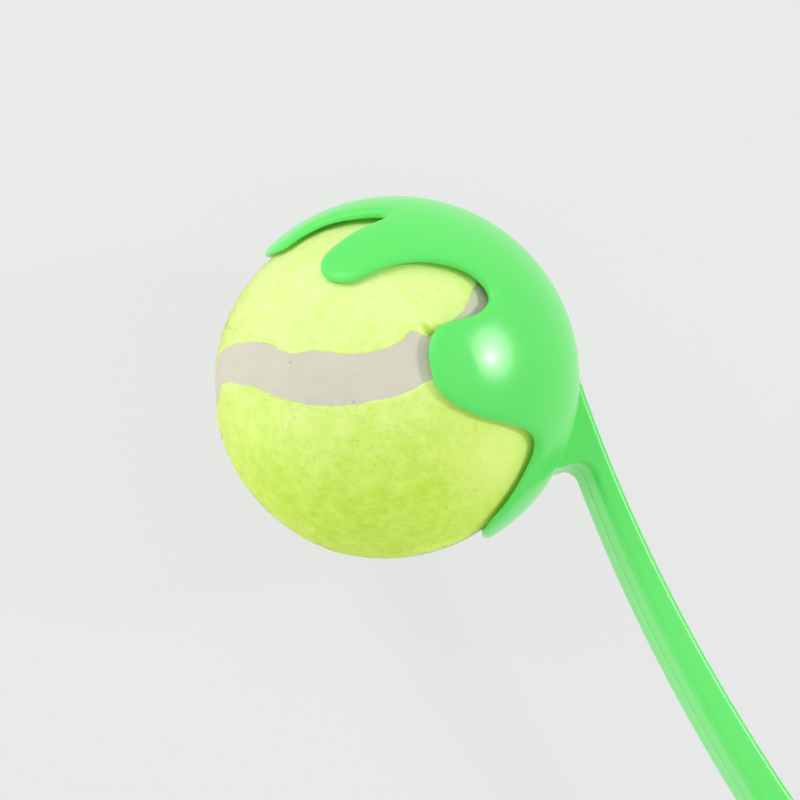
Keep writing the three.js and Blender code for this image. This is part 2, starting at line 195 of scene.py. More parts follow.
# %% The socket class
class Wire:
    """One output socket of a material. Arithmetic on it adds Math nodes and gives a new Wire."""

    def __init__(self, tree, socket=None):
        self.tree = tree
        self.socket = socket

    def node(self, kind, settings, sockets, output=0):
        """Add a node, set its options, fill its sockets with values or links, and give one output."""
        made = self.tree.nodes.new("ShaderNode" + kind)
        for name, value in settings.items():
            setattr(made, name, value)
        for name, value in sockets.items():
            if isinstance(value, Wire):
                self.tree.links.new(value.socket, made.inputs[name])
            else:
                made.inputs[name].default_value = value
        return Wire(self.tree, made.outputs[output])

    def math(self, operation, first, second):
        """One Math node on two values, each of them a number or a wire."""
        return self.node("Math", {"operation": operation}, {0: first, 1: second})

    def vector(self, operation, other=(0, 0, 0), output="Vector"):
        """Vector maths between this wire and a vector that is the same everywhere."""
        return self.node("VectorMath", {"operation": operation}, {0: self, 1: tuple(other)}, output)

    def __add__(self, other):
        return self.math("ADD", self, other)

    __radd__ = __add__

    def __sub__(self, other):
        return self.math("SUBTRACT", self, other)

    def __rsub__(self, other):
        return self.math("SUBTRACT", other, self)

    def __mul__(self, other):
        return self.math("MULTIPLY", self, other)

    __rmul__ = __mul__

    def clamp(self):
        """This wire, held between 0 and 1."""
        return self.node("Clamp", {}, {0: self})

    def between(self, low, high):
        """0 where this wire is below low, 1 where it is above high, and a straight ramp between."""
        return ((self - low) * (1 / (high - low))).clamp()

    def blend(self, first, second):
        """Colour: first where this wire is 0, second where it is 1."""
        return self.node("Mix", {"data_type": "RGBA"}, {"Factor": self, 6: first, 7: second}, 2)

    def spot(self):
        """The place on the piece, in metres, from its Object coordinates."""
        return self.node("TexCoord", {}, {}, "Object")

    def speckle(self, size, detail=3, roughness=0.5, stretch=(1, 1, 1)):
        """A noise pattern from 0 to 1 with spots of that size in millimetres."""
        spot = self.node("Mapping", {}, {"Vector": self.spot(), "Scale": stretch})
        sockets = {"Vector": spot, "Scale": 1 / (size * MM), "Detail": detail, "Roughness": roughness}
        return self.node("TexNoise", {}, sockets)

    def from_ball(self):
        """The way from the ball's centre to the place on the piece, in metres."""
        return self.spot().vector("SUBTRACT", ball_centre)

    def near(self, centre, *radii):
        """1 at a point given in millimetres in the launcher's axes, falling evenly to 0 on an
        ellipsoid round it with those radii along the frame's axes."""
        away = self.spot().vector("SUBTRACT", placed(centre)).vector("DIVIDE", np.array(radii) * MM)
        return (1 - away.vector("LENGTH", output="Value")).clamp()

    def bumps(self, strength=1.0):
        """A normal from this wire, read as a height in millimetres."""
        return self.node("Bump", {}, {"Height": self, "Distance": MM, "Strength": strength})


def colour(red, green, blue):
    """A colour given as a screen shows it, 0 to 255, as the light that Blender counts in."""
    shown = np.array([red, green, blue]) / 255
    light = np.where(shown > 0.04045, ((shown + 0.055) / 1.055) ** 2.4, shown / 12.92)
    return (*light, 1.0)


def new_material(name, **fixed):
    """A material with its Principled shader. Values that are the same all over go on its sockets."""
    made = bpy.data.materials.new(name)
    made.use_nodes = True
    shader = made.node_tree.nodes["Principled BSDF"]
    for socket, value in fixed.items():
        shader.inputs[socket.replace("_", " ")].default_value = value
    return made, Wire(made.node_tree), shader


def link(shader, **wires):
    """Join wires to the shader's sockets, named with _ for a space."""
    for socket, wire in wires.items():
        wire.tree.links.new(wire.socket, shader.inputs[socket.replace("_", " ")])


# %% [markdown]
# ## Finish: moulded green plastic
# The stick is one shot of polypropylene, smooth and slightly soft to look at, with a faint orange
# peel where it left the mould and a hair line where the mould's halves met. A flat colour would
# look like paint, so the colour drifts a little along the flow of the melt, the gloss varies, and
# a bump follows the parting plane, which is where the sideways distance from the ball is nothing.
# The shine comes from a clear coat over a nearly dull base, because the highlight in the photograph
# is white and soft at once. The coat is thinner on the cup, which the photograph shows duller than
# the arm.

# %% Green plastic
PLASTIC_GREEN = colour(96, 232, 102)
PLASTIC_LIGHT = colour(105, 236, 113)
FLOW_SIZE = 26             # width of a drift in the colour
PEEL_SIZE = 1.6            # width of a dimple of the orange peel
PARTING_HALF = 0.22        # half the width of the hair line
DULL_WITHIN = 37           # the coat is thin as near to the ball's centre as this
GLOSSY_BEYOND = 46         # and full from here on
THIN_COAT = 0.35
COAT_GAIN = 0.25           # what the full coat has more


def green_plastic():
    """The hair line is a hill in the bump, 1 - (s / h) (s / h), where s is the sideways distance from
    the ball's centre and h half its width. The coat thickens evenly between two distances from the
    ball, and the drift in the colour roughens the plastic a little as well."""
    made, wire, shader = new_material(
        "green_plastic", Coat_Roughness=0.2, Coat_IOR=1.5, Specular_IOR_Level=0.1
    )
    sideways = wire.from_ball().vector("DOT_PRODUCT", side_way, "Value")
    near_line = (1 - sideways * sideways * (1 / (PARTING_HALF * MM) ** 2)).clamp()
    flow = wire.speckle(FLOW_SIZE, detail=2)
    peel = wire.speckle(PEEL_SIZE, detail=1)
    away = wire.from_ball().vector("LENGTH", output="Value")
    coat = THIN_COAT + away.between(DULL_WITHIN * MM, GLOSSY_BEYOND * MM) * COAT_GAIN
    link(shader, Base_Color=flow.blend(PLASTIC_GREEN, PLASTIC_LIGHT), Roughness=0.3 + flow * 0.08)
    link(shader, Normal=(peel * 0.012 + near_line * 0.08).bumps(0.6), Coat_Weight=coat)
    return made


plastic = green_plastic()

# %% [markdown]
# ## The rim of the cup
# The cup is a bowl cut into fingers. On the real mould it is a sphere with a hand-drawn edge, so
# the edge is all that has to be drawn: each point is an angle down from the back of the cup and an
# angle round it. A smooth closed curve through the points gives the rim. A cubic curve whose bend
# runs on from piece to piece is used, because a rim with kinks would show at once in the gloss.

# %% Draw the rim
CUP_OUTER_RADIUS = 34.5
CUP_INNER_RADIUS = 33.2
CUP_OUTER_SHIFT = 2.2      # centre of the outer sphere, behind the ball's centre
CUP_INNER_SHIFT = 0.7      # centre of the inner sphere
RIM_STEPS = 960
CURVE_STEPS = 48           # points on each piece of the curve, before it is evened out
rim_degrees = {
    "far_finger": [
        (98.6, 0), (99.2, 5), (99.6, 10), (99.2, 14.2), (97.6, 17.2), (95.4, 18.5), (92.4, 18.8),
        (89, 19.9), (85.2, 21.3), (81.2, 23.9), (77.4, 27.4),
    ],
    "cleft": [(73.4, 31.2), (70.4, 34), (69.3, 36.6), (70.2, 38.7), (73, 39.4)],
    "slanting_finger": [
        (77, 39.3), (83.6, 39), (91.8, 39.2), (97, 40.4), (100.1, 43.6), (101.1, 47.6), (99.6, 52.4),
        (96.6, 55.6), (89.6, 57.8), (83, 60), (76.2, 63.4), (70.3, 68.3), (65.6, 74),
    ],
    "hooked_notch": [(63.3, 81.2), (64.2, 86.9), (66.9, 88.9), (70.6, 89.6), (75.3, 89)],
    "side_lobe": [
        (81.9, 86.6), (87.8, 85.5), (92.5, 87.5), (95.8, 91.3), (98.2, 96.1), (99.1, 101),
        (97.7, 107.2), (93.9, 114.2), (88.3, 121.3), (82, 128.9),
    ],
    "armpit": [(78.5, 135.4), (78.2, 140.6), (80.8, 144.8)],
    "near_tongue": [
        (86.6, 149.6), (92.6, 155), (97, 158.8), (100, 162.2), (101.6, 166.4), (101.6, 171),
        (100.6, 175.6), (99.4, 180),
    ],
}
short_tongue = [
    (97.9, -175), (96.2, -170.5), (94, -165.5), (91.3, -160.3), (87.8, -154.8), (84, -149),
]
short_finger = [
    (77.4, -27.4), (81.2, -23.9), (85, -21), (88.4, -18.4), (91.4, -15.6), (94, -12), (96, -8),
    (97.6, -4),
]


def closed_curve(corners, steps):
    """A closed cubic curve through the corners, in equal steps. On each piece the bend goes evenly
    from one corner's value to the next, and the bends are solved for so that the slopes agree."""
    ahead = np.roll(corners, -1, 0) - corners
    span = np.linalg.norm(ahead, axis=1) ** 0.5
    slope = ahead / span[:, None]
    count = len(corners)
    here = np.arange(count)
    system = np.zeros((count, count))
    system[here, here] = 2 * (span + np.roll(span, 1))
    system[here, here - 1] = np.roll(span, 1)
    system[here, (here + 1) % count] = span
    bend = np.linalg.solve(system, 6 * (slope - np.roll(slope, 1, 0)))
    share = np.linspace(0, 1, CURVE_STEPS, endpoint=False)[None, :, None]
    start, stop = corners[:, None], np.roll(corners, -1, 0)[:, None]
    start_bend, stop_bend = bend[:, None], np.roll(bend, -1, 0)[:, None]
    square = (span**2)[:, None, None] / 6
    curve = start + (stop - start) * share
    curve = curve + square * start_bend * ((1 - share) ** 3 - (1 - share))
    curve = (curve + square * stop_bend * (share**3 - share)).reshape(-1, 2)
    closed = np.vstack([curve, curve[:1]])
    length = np.append(0, np.cumsum(np.linalg.norm(np.diff(closed, axis=0), axis=1)))
    even = np.linspace(0, length[-1], steps, endpoint=False)
    return np.stack([np.interp(even, length, closed[:, axis]) for axis in (0, 1)], -1)


def to_direction(blank):
    """A point of the flat blank, in millimetres from its middle, to its direction from the centre of
    the outer sphere: as far down from the back, along the sphere, as it lies from the middle."""
    polar = np.hypot(blank[..., 0], blank[..., 1]) / CUP_OUTER_RADIUS
    around = np.arctan2(blank[..., 1], blank[..., 0])
    across = np.sin(polar)
    return np.stack([-across * np.cos(around), np.cos(polar), across * np.sin(around)], -1)


def to_blank(direction):
    """The way back from a direction to the flat blank."""
    polar = np.arccos(np.clip(direction[..., 1], -1, 1)) * CUP_OUTER_RADIUS
    around = np.arctan2(direction[..., 2], -direction[..., 0])
    return np.stack([polar * np.cos(around), polar * np.sin(around)], -1)


upper_rim = [point for points in rim_degrees.values() for point in points]
middle_rim = upper_rim[len(rim_degrees["far_finger"]):-len(rim_degrees["near_tongue"])]
mirrored_rim = np.array(middle_rim[::-1]) * (1, -1)
whole_rim = np.radians(np.vstack([upper_rim, short_tongue, mirrored_rim, short_finger]))
rim_corners = CUP_OUTER_RADIUS * whole_rim[:, :1] * np.stack(
    [np.cos(whole_rim[:, 1]), np.sin(whole_rim[:, 1])], -1
)
rim = closed_curve(rim_corners, RIM_STEPS)
rim_length = np.linalg.norm(np.roll(rim, -1, 0) - rim, axis=1).sum()
print("rim length in the blank:", round(float(rim_length)), "mm")

# %% [markdown]
# ## The cup
# The wall lies between two spheres that aren't quite concentric, so it is thick at the back and
# thin at the fingertips, which lets the fingers spring. Along the rim a narrow grid carries a
# rounded profile from the outer face to the inner one. Inside that, fingers and notches leave no
# good way to lay a grid, so both faces are filled with a triangulation of evenly spread points,
# worked out once in the flat blank and bent to each sphere.

# %% Build the cup
RIM_ROUND_OUT = 1.9        # how far in from the rim the outer face starts to round
RIM_ROUND_IN = 0.4         # and the inner face
RIM_TURN_SHARE = 0.3       # height in the wall where the rim reaches furthest
RIM_ROWS = 15
FILL_STEP = 1.25
FILL_CLEAR_SHARE = 0.75    # no fill point lies nearer to the rim than this share of a step


def on_cup(direction, height):
    """A point of the wall: along a direction from the outer sphere's centre, at a height from 0 on
    the inner sphere to 1 on the outer one. The inner surface lies at sqrt(r r - b b) - a, where a and
    b are the parts of the way between the two centres along and across the direction."""
    lead = CUP_OUTER_SHIFT - CUP_INNER_SHIFT
    down = direction[..., 1:2]
    inner = np.sqrt(CUP_INNER_RADIUS**2 - lead**2 * (1 - down**2)) - lead * down
    reach = inner + (CUP_OUTER_RADIUS - inner) * height
    return direction * reach + (0, CUP_OUTER_SHIFT, 0)


def inset_rim(distance):
    """The rim moved inwards over the sphere: each point turns towards the wall's side of the curve,
    to cos(t) times its direction plus sin(t) times the way inwards."""
    direction = to_direction(rim)
    ahead = np.roll(direction, -1, 0) - np.roll(direction, 1, 0)
    inwards = np.cross(direction, ahead)
    inwards /= np.linalg.norm(inwards, axis=1)[:, None]
    turn = distance / CUP_OUTER_RADIUS
    return np.cos(turn) * direction + np.sin(turn) * inwards


def points_inside(loop, step):
    """Points of a triangular lattice that lie inside the loop and not too near it. A point is inside
    when a line from it to the right crosses the loop an odd number of times."""
    reach = np.abs(loop).max()
    count = int(reach / step) + 1
    column, row = np.meshgrid(np.arange(-count, count + 1), np.arange(-count, count + 1))
    lattice = np.stack([column + 0.5 * (row % 2), row * math.sqrt(0.75)], -1).reshape(-1, 2) * step
    ahead = np.roll(loop, -1, 0)
    rise = ahead[:, 1] - loop[:, 1]
    safe = np.where(rise == 0, 1, rise)
    share = (lattice[:, 1:] - loop[:, 1]) / safe
    crossed = (lattice[:, 1:] < loop[:, 1]) != (lattice[:, 1:] < ahead[:, 1])
    right = loop[:, 0] + share * (ahead[:, 0] - loop[:, 0]) > lattice[:, :1]
    inside = (crossed & right).sum(1) % 2 == 1
    chosen = lattice[inside]
    away = np.sqrt(((chosen[:, None] - loop[None, ::2]) ** 2).sum(-1)).min(1)
    return chosen[away > FILL_CLEAR_SHARE * step]


def filled(loop, loop_start, points_start):
    """Spread points inside a loop, and the triangles over both, numbered from the two starts."""
    inside = points_inside(loop, FILL_STEP)
    flat = [tuple(point) for point in np.vstack([loop, inside])]
    found = delaunay_2d_cdt(flat, [], [list(range(len(loop)))], 1, 1e-6)
    source = np.array([given[0] for given in found[3]])
    fill = source[np.array(found[2])]
    return inside, np.where(fill < len(loop), loop_start + fill, points_start + fill - len(loop))


def cup_wall():
    """The whole wall: the rim's rounded grid, then the same fill on the outer and inner faces."""
    turn = np.linspace(0, np.pi, RIM_ROWS)
    outwards = turn < np.pi / 2
    inset = np.where(outwards, RIM_ROUND_OUT, RIM_ROUND_IN) * (1 - np.sin(turn))
    height = RIM_TURN_SHARE + np.where(outwards, 1 - RIM_TURN_SHARE, RIM_TURN_SHARE) * np.cos(turn)
    rows = [on_cup(inset_rim(distance), level) for distance, level in zip(inset, height)]
    loop, inner_loop = to_blank(inset_rim(RIM_ROUND_OUT)), to_blank(inset_rim(RIM_ROUND_IN))
    edge = len(rim)
    first = RIM_ROWS * edge
    outside, outer = filled(loop, 0, first)
    inside, inner = filled(inner_loop, first - edge, first + len(outside))
    points = np.vstack([*rows, on_cup(to_direction(outside), 1), on_cup(to_direction(inside), 0)])
    return points, grid_faces(RIM_ROWS, edge), outer, inner


cup = new_piece("cup_wall", *cup_wall())

# %% [markdown]
# ## The stem
# Arm, shoulder, handle core and butt are one long run of sections carried along a bent line, as in
# the mould. The line's bend fades out towards the handle, so its direction is a parabola in the
# distance. Each section is an oblong with rounded corners. The mould's halves part in the middle of
# the arm, and each half has draft, so the two narrow faces are shallow roofs.

# %% Stem line and sections
STEM_START = (CUP_OUTER_RADIUS - 0.5, math.radians(44.8))   # the root's reach and angle on the cup
STEM_FIRST_ANGLE = math.radians(-20.2)
BEND_LENGTH = 310
BEND_RADIUS = 278
ARM_LENGTH = 290
COLLAR_END = 315
GRIP_END = 423
STEM_END = 451
LINE_OVERRUN = 10          # how far the line runs on past both ends
LINE_STEPS = 9600
PARTING_RIDGE_HALF = 0.3   # half the width of the ridge where the mould parts


def stem_angle(distance):
    """Direction of the stem: the first angle, plus (d - d d / 2L) / R up to the end of the bend."""
    bent = np.minimum(distance, BEND_LENGTH)
    return STEM_FIRST_ANGLE + (bent - bent**2 / (2 * BEND_LENGTH)) / BEND_RADIUS


def stem_line(distance):
    """The stem's centre line: the running sum of its direction, from the root on the cup's back."""
    fine = np.linspace(-LINE_OVERRUN, STEM_END + LINE_OVERRUN, LINE_STEPS + 1)
    middle = stem_angle((fine[1:] + fine[:-1]) / 2)
    step = fine[1] - fine[0]
    reach, polar = STEM_START
    start = (reach * math.sin(polar), CUP_OUTER_SHIFT + reach * math.cos(polar))
    spots = []
    for way, first in zip((np.cos, np.sin), start):
        run = np.append(0, np.cumsum(way(middle) * step))
        spots.append(first + np.interp(distance, fine, run) - np.interp(0, fine, run))
    return np.stack(spots, -1)


def rounded_oblong(arc_points, *side_shares):
    """A unit outline with rounded corners, as [corner x, corner y, arc x, arc y] for each point. The
    point itself is corner * (half size - radius) + arc * radius."""
    rows = []
    for quarter in range(4):
        turn = np.pi / 2 * (quarter + np.linspace(0, 1, arc_points))
        arc = np.stack([np.cos(turn), np.sin(turn)], -1)
        corner = np.sign(arc.mean(0))
        rows.append(np.hstack([np.tile(corner, (arc_points, 1)), arc]))
        share = np.array(side_shares[quarter % 2])[:, None]
        side = corner + share * (np.array([-corner[1], corner[0]]) - corner)
        rows.append(np.hstack([side, np.tile(arc[-1], (len(side), 1))]))
    return np.vstack(rows)


def end_round(left, radius):
    """How far a section draws in near a rounded end: r - sqrt(r r - (r - left)(r - left))."""
    near = np.clip(radius - left, 0, radius)
    return radius - np.sqrt(radius**2 - near**2)


def carried(outline, distance, width, above, below, radius, roof=0.0, ridge=0.0):
    """Sections carried along the stem, one row each. Width runs sideways, above towards the inside
    of the bend and below towards the outside. radius rounds the corners, roof raises the middle of
    the two narrow faces, and ridge is the fine line on it where the mould parts."""
    width, above, below, radius, roof, ridge = (
        np.broadcast_to(value, distance.shape)[:, None]
        for value in (width, above, below, radius, roof, ridge)
    )
    corner_x, corner_y, arc_x, arc_y = outline.T
    side = corner_x * (width / 2 - radius) + arc_x * radius
    lift = roof * (0.5 - 2 * np.abs(side) / width)
    lift = lift + ridge * np.clip(1 - np.abs(side) / PARTING_RIDGE_HALF, 0, 1)
    up = corner_y * (np.where(corner_y > 0, above, below) - radius) + arc_y * (radius + lift)
    angle = stem_angle(distance)[:, None]
    middle = stem_line(distance)
    return np.stack([
        middle[:, :1] - up * np.sin(angle), middle[:, 1:] + up * np.cos(angle), side
    ], -1)


PARTED_SHARES = (0.12, 0.25, 0.38, 0.46, 0.485, 0.5, 0.515, 0.54, 0.62, 0.75, 0.88)
FLAT_SHARES = (0.25, 0.5, 0.75)
CORNER_POINTS = 8          # on each rounded corner
stem_outline = rounded_oblong(CORNER_POINTS, PARTED_SHARES, FLAT_SHARES)
print("points round a section:", len(stem_outline))

# %% [markdown]
# ## The moulding
# The rows of the stem crowd together where the shape turns quickly: in the crotch under the cup, at
# the collar and round the end of the butt. Stem and cup are then joined with the Manifold boolean,
# which is quick and keeps the result closed. The stem first loses a sphere, so that nothing of it
# stands inside the cup, and the butt loses a flared hole for a hook.

# %% Build the stem
ARM_WIDTH = 12
ARM_DEPTHS = (4, 12.4)     # at the root and at the shoulder
HANDLE = (24, 29)
CORE = (15, 19)
WEB_DEPTH = 12             # how far the web fills the crotch under the cup
CROTCH = (11, 14)          # where the web's fillet starts and ends
COLLAR_ROUND = 0.8
BUTT_WIDER = 1
BUTT_HOOK = (15, 13)       # the run that the hook of the butt takes to form, and its depth
BUTT_EDGE = 4
SKIN = 0.22                # how far the butt stays inside the frame's, whose corners are facets
EDGE_RADIUS = 1.3          # corners of a section: on the arm,
HANDLE_RADIUS = 10         # at the collars,
BUTT_RADIUS = 5.6          # on the butt, where they draw in with its rounded end
BUTT_DRAWN_IN = 3.4        # by no more than this,
CORE_RADIUS = 5.5          # and on the core
ROOF = 0.14                # how high the draft and the parting line rise on the narrow faces
RIDGE = 0.07
# Stretches of the stem, as [from, to, distance between rows].
FRONT_ROWS = [(-4, 20, 0.4), (20, 284, 2), (284, 314.2, 0.7)]
BUTT_ROWS = (424, 446, 0.8)
ROUND_SHARES = 1 - np.cos(np.linspace(0, np.pi / 2, 7))   # steps of a quarter circle, seen side on


def spread(start, stop, step):
    """Even distances from start to stop, about a step apart."""
    return np.linspace(start, stop, round((stop - start) / step) + 1)


def stem_rows():
    """Distances of the rows, and for each row whether it lies in the recess under the sleeve."""
    front = [spread(*stretch)[:-1] for stretch in FRONT_ROWS]
    front = np.unique(np.concatenate([*front, COLLAR_END - COLLAR_ROUND * ROUND_SHARES]))
    end = STEM_END - SKIN - BUTT_EDGE * ROUND_SHARES
    butt = np.unique(np.concatenate([GRIP_END + COLLAR_ROUND * ROUND_SHARES, spread(*BUTT_ROWS), end]))
    recess = np.repeat([False, True, False], [len(front), 2, len(butt)])
    return np.concatenate([front, [COLLAR_END, GRIP_END], butt]), recess


def stem():
    """The stem's sections: a deepening arm, a shoulder that flares, a straight core and the butt."""
    distance, recess = stem_rows()
    arm = ARM_DEPTHS[0] + (ARM_DEPTHS[1] - ARM_DEPTHS[0]) * np.clip(distance / ARM_LENGTH, 0, 1)
    flare = ease((distance - ARM_LENGTH) / (BEND_LENGTH - ARM_LENGTH))
    hook = ease((distance - GRIP_END) / BUTT_HOOK[0])
    inset = end_round(COLLAR_END - distance, COLLAR_ROUND) * (distance <= COLLAR_END)
    inset = inset + end_round(distance - GRIP_END, COLLAR_ROUND) * (distance >= GRIP_END)
    inset = inset + end_round(STEM_END - SKIN - distance, BUTT_EDGE) + SKIN * hook
    fillet = end_round(distance - CROTCH[0], CROTCH[1] - CROTCH[0])
    web = np.where(distance < CROTCH[0], WEB_DEPTH, fillet)
    width = ARM_WIDTH + (HANDLE[0] - ARM_WIDTH) * flare + BUTT_WIDER * hook - 2 * inset
    above = arm / 2 + (HANDLE[1] - arm) / 2 * flare - inset
    below = above + web + BUTT_HOOK[1] * hook
    radius = EDGE_RADIUS + (HANDLE_RADIUS - EDGE_RADIUS) * flare - np.minimum(inset, BUTT_DRAWN_IN)
    radius = radius - (HANDLE_RADIUS - BUTT_RADIUS) * hook
    width, above, below, radius = (
        np.where(recess, core, full) for core, full in
        ((CORE[0], width), (CORE[1] / 2, above), (CORE[1] / 2, below), (CORE_RADIUS, radius))
    )
    roof, ridge = ROOF * (1 - flare), RIDGE * (1 - recess) * (1 - hook)
    return capped(carried(stem_outline, distance, width, above, below, radius, roof, ridge))


def turned(profile, steps):
    """A closed solid of revolution about its own Z: each profile point [radius, height] goes round."""
    turn = np.linspace(0, 2 * np.pi, steps, endpoint=False)
    reach, height = profile[:, :1], np.tile(profile[:, 1:], steps)
    return capped(np.stack([reach * np.cos(turn), reach * np.sin(turn), height], -1))


def combined(name, start, *operations):
    """Join or cut one mesh after another, and give the result as a new piece."""
    for operation, other in operations:
        step = start.modifiers.new(operation.lower(), "BOOLEAN")
        step.operation = operation
        step.object = other
        step.solver = "MANIFOLD"
    bpy.context.view_layer.update()
    worked_out = start.evaluated_get(bpy.context.evaluated_depsgraph_get())
    result = bpy.data.meshes.new_from_object(worked_out)
    for used in (start, *(other for _, other in operations)):
        bpy.data.objects.remove(used)
    result.name = name
    made = bpy.data.objects.new(name, result)
    bpy.context.scene.collection.objects.link(made)
    return made


SEAT_RADIUS = 33.3
SEAT_POLE = 0.02           # angle from a pole of the seat to its nearest row
SEAT_ROWS = 160
SEAT_COLUMNS = 320
HOLE_RADIUS = 4.5
HOLE_FLARE = 1.6           # radius of the rounding at both mouths of the hole
HOLE_PLACE = (13, 5)       # in from the end of the butt, and out from its middle
BUTT_HALF = (HANDLE[0] + BUTT_WIDER) / 2
FLARE_ROWS = 8
HOLE_COLUMNS = 96
OVERRUN = 2                # how far the cutter of the hole stands out
polar = np.linspace(SEAT_POLE, np.pi - SEAT_POLE, SEAT_ROWS)
seat_profile = SEAT_RADIUS * np.stack([np.sin(polar), np.cos(polar)], -1)
seat_points, *seat_faces = turned(seat_profile, SEAT_COLUMNS)
seat = new_piece("seat", seat_points + (0, CUP_OUTER_SHIFT, 0), *seat_faces)
flare_turn = np.linspace(0, np.pi / 2, FLARE_ROWS)
mouth = HOLE_FLARE * np.stack([1 - np.cos(flare_turn), np.sin(flare_turn)], -1)
mouth = np.vstack([mouth + (0, BUTT_HALF - HOLE_FLARE), (HOLE_FLARE, BUTT_HALF + OVERRUN)])
hole_profile = np.vstack([mouth[::-1] * (1, -1), mouth]) + (HOLE_RADIUS, 0)
hole_points, *hole_faces = turned(hole_profile, HOLE_COLUMNS)
butt_angle = float(stem_angle(STEM_END))
butt_along = np.array([math.cos(butt_angle), math.sin(butt_angle)])
butt_across = np.array([-butt_along[1], butt_along[0]])
hole_spot = stem_line(STEM_END) - HOLE_PLACE[0] * butt_along - HOLE_PLACE[1] * butt_across
hole = new_piece("hole", hole_points + (*hole_spot, 0), *hole_faces)
body = new_piece("stem", *stem())
moulding = combined("launcher_body", body, ("DIFFERENCE", seat), ("DIFFERENCE", hole), ("UNION", cup))
moulding.data.set_sharp_from_angle(angle=math.radians(38))
finish_piece(moulding, "launcher", "green_plastic", plastic, "launcher_moulding")

# %% [markdown]
# ## Finish: felt
# Tennis felt is wool and nylon, needled and brushed until its fibres lie in a matted nap. Up close
# it is mottled and streaky rather than even, and it scatters light at its edges. The colour runs
# between a deep tone and a pale one by three noises: clouds, small patches, and streaks that follow
# the brushing. Both tones turn paler towards one side of the ball, painted light, and a pool of
# painted light lies beside the near tongue, with painted shade on the torn, folded edge. Sheen gives
# the bloom at grazing angles. The felt also glows faintly, painted light of its own that lifts the
# shadows beside the fingers and keeps them green.

# %% Felt
BALL_RADIUS = 32.5
PAINTED_LIGHT_WAY = np.array([-0.824, 0.172, 0.529])   # the side that painted light pales, in launcher axes
# Two places, as the middle and then the radii along the frame's axes.
FELT_FOLD_SHADE = ((-2.6, 2.4, 32.2), 3.4, 1.2, 3.0)   # painted shade where the cut edge is torn and folded back
FELT_PAINTED_POOL = ((22.4, 2.2, 23.4), 15, 15, 15)      # a pool of painted light: a paler patch beside the near tongue


def felt():
    """Three noises, added in shares of 0.5, 0.2 and 0.3, choose between a deep tone and a pale one.
    Both tones run to a paler one, painted light, along the way from the ball's centre to the lit side.
    A painted pool of light and the fold's painted shade are laid over that, each strongest in its middle."""
    # The emission is painted light: a faint glow that lifts the felt's shadows and keeps them green.
    made, wire, shader = new_material(
        "yellow_felt", Roughness=0.95, Specular_IOR_Level=0.1, Sheen_Weight=1.0, Sheen_Roughness=0.4,
        Sheen_Tint=colour(236, 248, 150), Emission_Color=colour(160, 255, 0), Emission_Strength=0.06,
    )
    outwards = wire.from_ball().vector("DOT_PRODUCT", PAINTED_LIGHT_WAY @ launcher_axes, "Value")
    patches = wire.speckle(2.5, detail=2, roughness=0.5)
    streaks = wire.speckle(1.1, detail=1, stretch=(0.4, 1.0, 1.0))
    clouds = wire.speckle(8, detail=1)
    tone = (patches * 0.5 + streaks * 0.2 + clouds * 0.3).between(0.34, 0.64)
    # painted light: both tones turn paler towards the side where the lamps fall
    painted_light = (outwards * (1 / (BALL_RADIUS * MM))).between(-0.2, 0.85)
    deep = painted_light.blend(colour(196, 229, 72), colour(222, 242, 142))
    pale = painted_light.blend(colour(219, 244, 110), colour(231, 246, 172))
    # painted light: a paler pool on the felt beside the near tongue
    painted_pool = (wire.near(*FELT_PAINTED_POOL) * 1.3).clamp()
    # painted shade: a darker patch where the cut edge is torn and folded back
    fold_shade = (wire.near(*FELT_FOLD_SHADE) * 1.6).clamp()
    cloth = painted_pool.blend(tone.blend(deep, pale), colour(230, 250, 138))
    cloth = fold_shade.blend(cloth, colour(186, 216, 74))
    link(shader, Base_Color=cloth, Normal=(patches * 0.2 + streaks * 0.1).bumps(0.5))
    return made


felt_cloth = felt()

# %% [markdown]
# ## The seam line
# The seam of a tennis ball is one closed curve that divides the sphere into two equal dog bones.
# Two cosines of different speed draw it, and three small terms more make it stray as a hand-laid
# seam does. Everything on the ball is measured from this curve: the felt panels stop short of it
# on either side, and the seam rubber fills what is left. The felt is cut by a worn die, so its
# edges wander. Where the photograph shows them, the wander was measured against the curve, with
# the small tear in one edge, and elsewhere waves of chance size stand in for it.

# %% Seam
SEAM_HALF = 4.0
SEAM_TIGHT = 0.232
SEAM_FLAT = 0.723
SEAM_SKEW = (0.088, 0.061, -0.066)     # how the seam strays from the even curve
SLOW_WAVES = np.arange(9, 33, 3)       # waves of the felt's cut edge, counted round the seam
QUICK_WAVES = np.arange(40, 120, 11)
WAVE_HEIGHTS = (0.13, 0.0225)          # of the slow and of the quick ones
EDGE_SEEDS = {1: 11, -1: 12}           # one for each side of the seam
SEEN_FADE = 5                          # degrees over which slow waves give way to what is seen
# Where the photograph shows the felt's cut edges: [turn in degrees, distance from the seam].
seen_edges = {
    -1: [
        (212.5, 3.86), (215, 4.58), (218.5, 4.32), (221.5, 4.06), (222.5, 3.9), (231.5, 4.26),
        (232.3, 3.7), (232.7, 4.26), (233.1, 5.07), (233.7, 5.7), (234.3, 6.15), (235.1, 6.06),
        (236, 5.54), (236.5, 4.95), (237.8, 4.74), (239.3, 4.4), (243, 4.2), (245, 4.2), (249.5, 4.44),
        (251.5, 4.89), (256, 4.91), (257.2, 4.3), (259, 3.89), (262, 3.62), (266, 4), (269, 4.52),
        (274.5, 4.2), (282, 3.48), (290, 3.1), (296.5, 3.47),
    ],
    1: [
        (234, 3.17), (236, 3.32), (237.5, 3.88), (240, 4.08), (242.5, 4.2), (244.5, 4.36),
        (246.5, 4.66), (250.5, 4.8), (254, 4.8), (258, 4.58), (263, 4.2), (267, 3.89), (271.5, 3.63),
        (280, 4.03), (289.5, 3.52), (296.5, 2.94),
    ],
}
BALL_TURNS = (-15.94, 41.83, -36.34)   # degrees round X, Y and Z that lay the seam as it is seen
